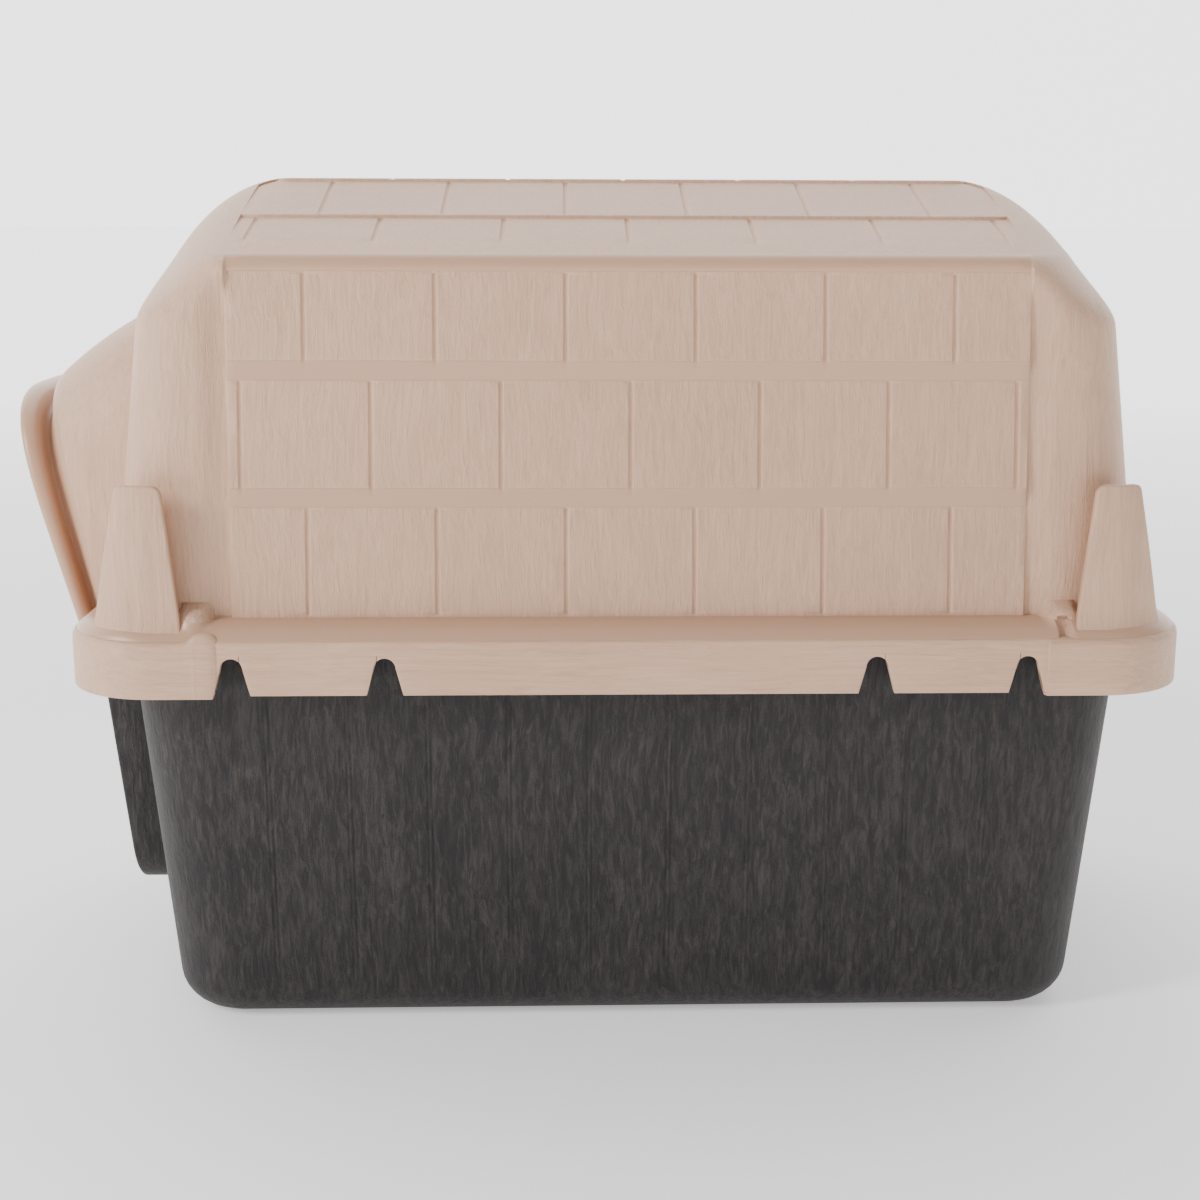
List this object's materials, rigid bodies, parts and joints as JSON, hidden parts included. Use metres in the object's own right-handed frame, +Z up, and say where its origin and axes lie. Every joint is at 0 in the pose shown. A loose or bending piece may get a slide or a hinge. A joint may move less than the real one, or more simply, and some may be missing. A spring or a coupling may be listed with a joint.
{
  "type": "dog house",
  "caption": "Two-piece moulded plastic barn-style dog house: shingled upper shell with door hood and snap tabs that lifts off a tub-shaped base.",
  "frame": {"origin": "bottom centre of the whole box, on the ground", "axes": "+Z up, +X along the house from the doorway end (-X) to the rear end, the pictured long side at -Y"},
  "size_m": [0.8142, 0.484, 0.585],
  "materials": {
    "beige_plastic": "semi-matte structural foam with a fine moulded wood grain",
    "charcoal_plastic": "semi-matte structural foam with a moulded wood grain"
  },
  "bodies": {
    "base": {"base_shell": "charcoal_plastic"},
    "roof": {"roof_shell": "beige_plastic"},
    "tab_nf": {"tab_near_front": "beige_plastic"},
    "tab_nr": {"tab_near_rear": "beige_plastic"},
    "tab_ff": {"tab_far_front": "beige_plastic"},
    "tab_fr": {"tab_far_rear": "beige_plastic"}
  },
  "joints": [
    {"name": "roof_lift", "type": "slide", "parent": "base", "child": "roof", "axis": [0, 0, 1], "range_m": [0, 0.3]},
    {"name": "tab_near_front_flex", "type": "hinge", "parent": "roof", "child": "tab_nf", "pos_m": [-0.18273, -0.237, 0.277], "axis": [-1, 0, 0], "range_deg": [0, 8], "stiffness_Nm_per_rad": 3},
    {"name": "tab_near_rear_flex", "type": "hinge", "parent": "roof", "child": "tab_nr", "pos_m": [0.24127, -0.237, 0.277], "axis": [-1, 0, 0], "range_deg": [0, 8], "stiffness_Nm_per_rad": 3},
    {"name": "tab_far_front_flex", "type": "hinge", "parent": "roof", "child": "tab_ff", "pos_m": [-0.18273, 0.237, 0.277], "axis": [1, 0, 0], "range_deg": [0, 8], "stiffness_Nm_per_rad": 3},
    {"name": "tab_far_rear_flex", "type": "hinge", "parent": "roof", "child": "tab_fr", "pos_m": [0.24127, 0.237, 0.277], "axis": [1, 0, 0], "range_deg": [0, 8], "stiffness_Nm_per_rad": 3}
  ]
}
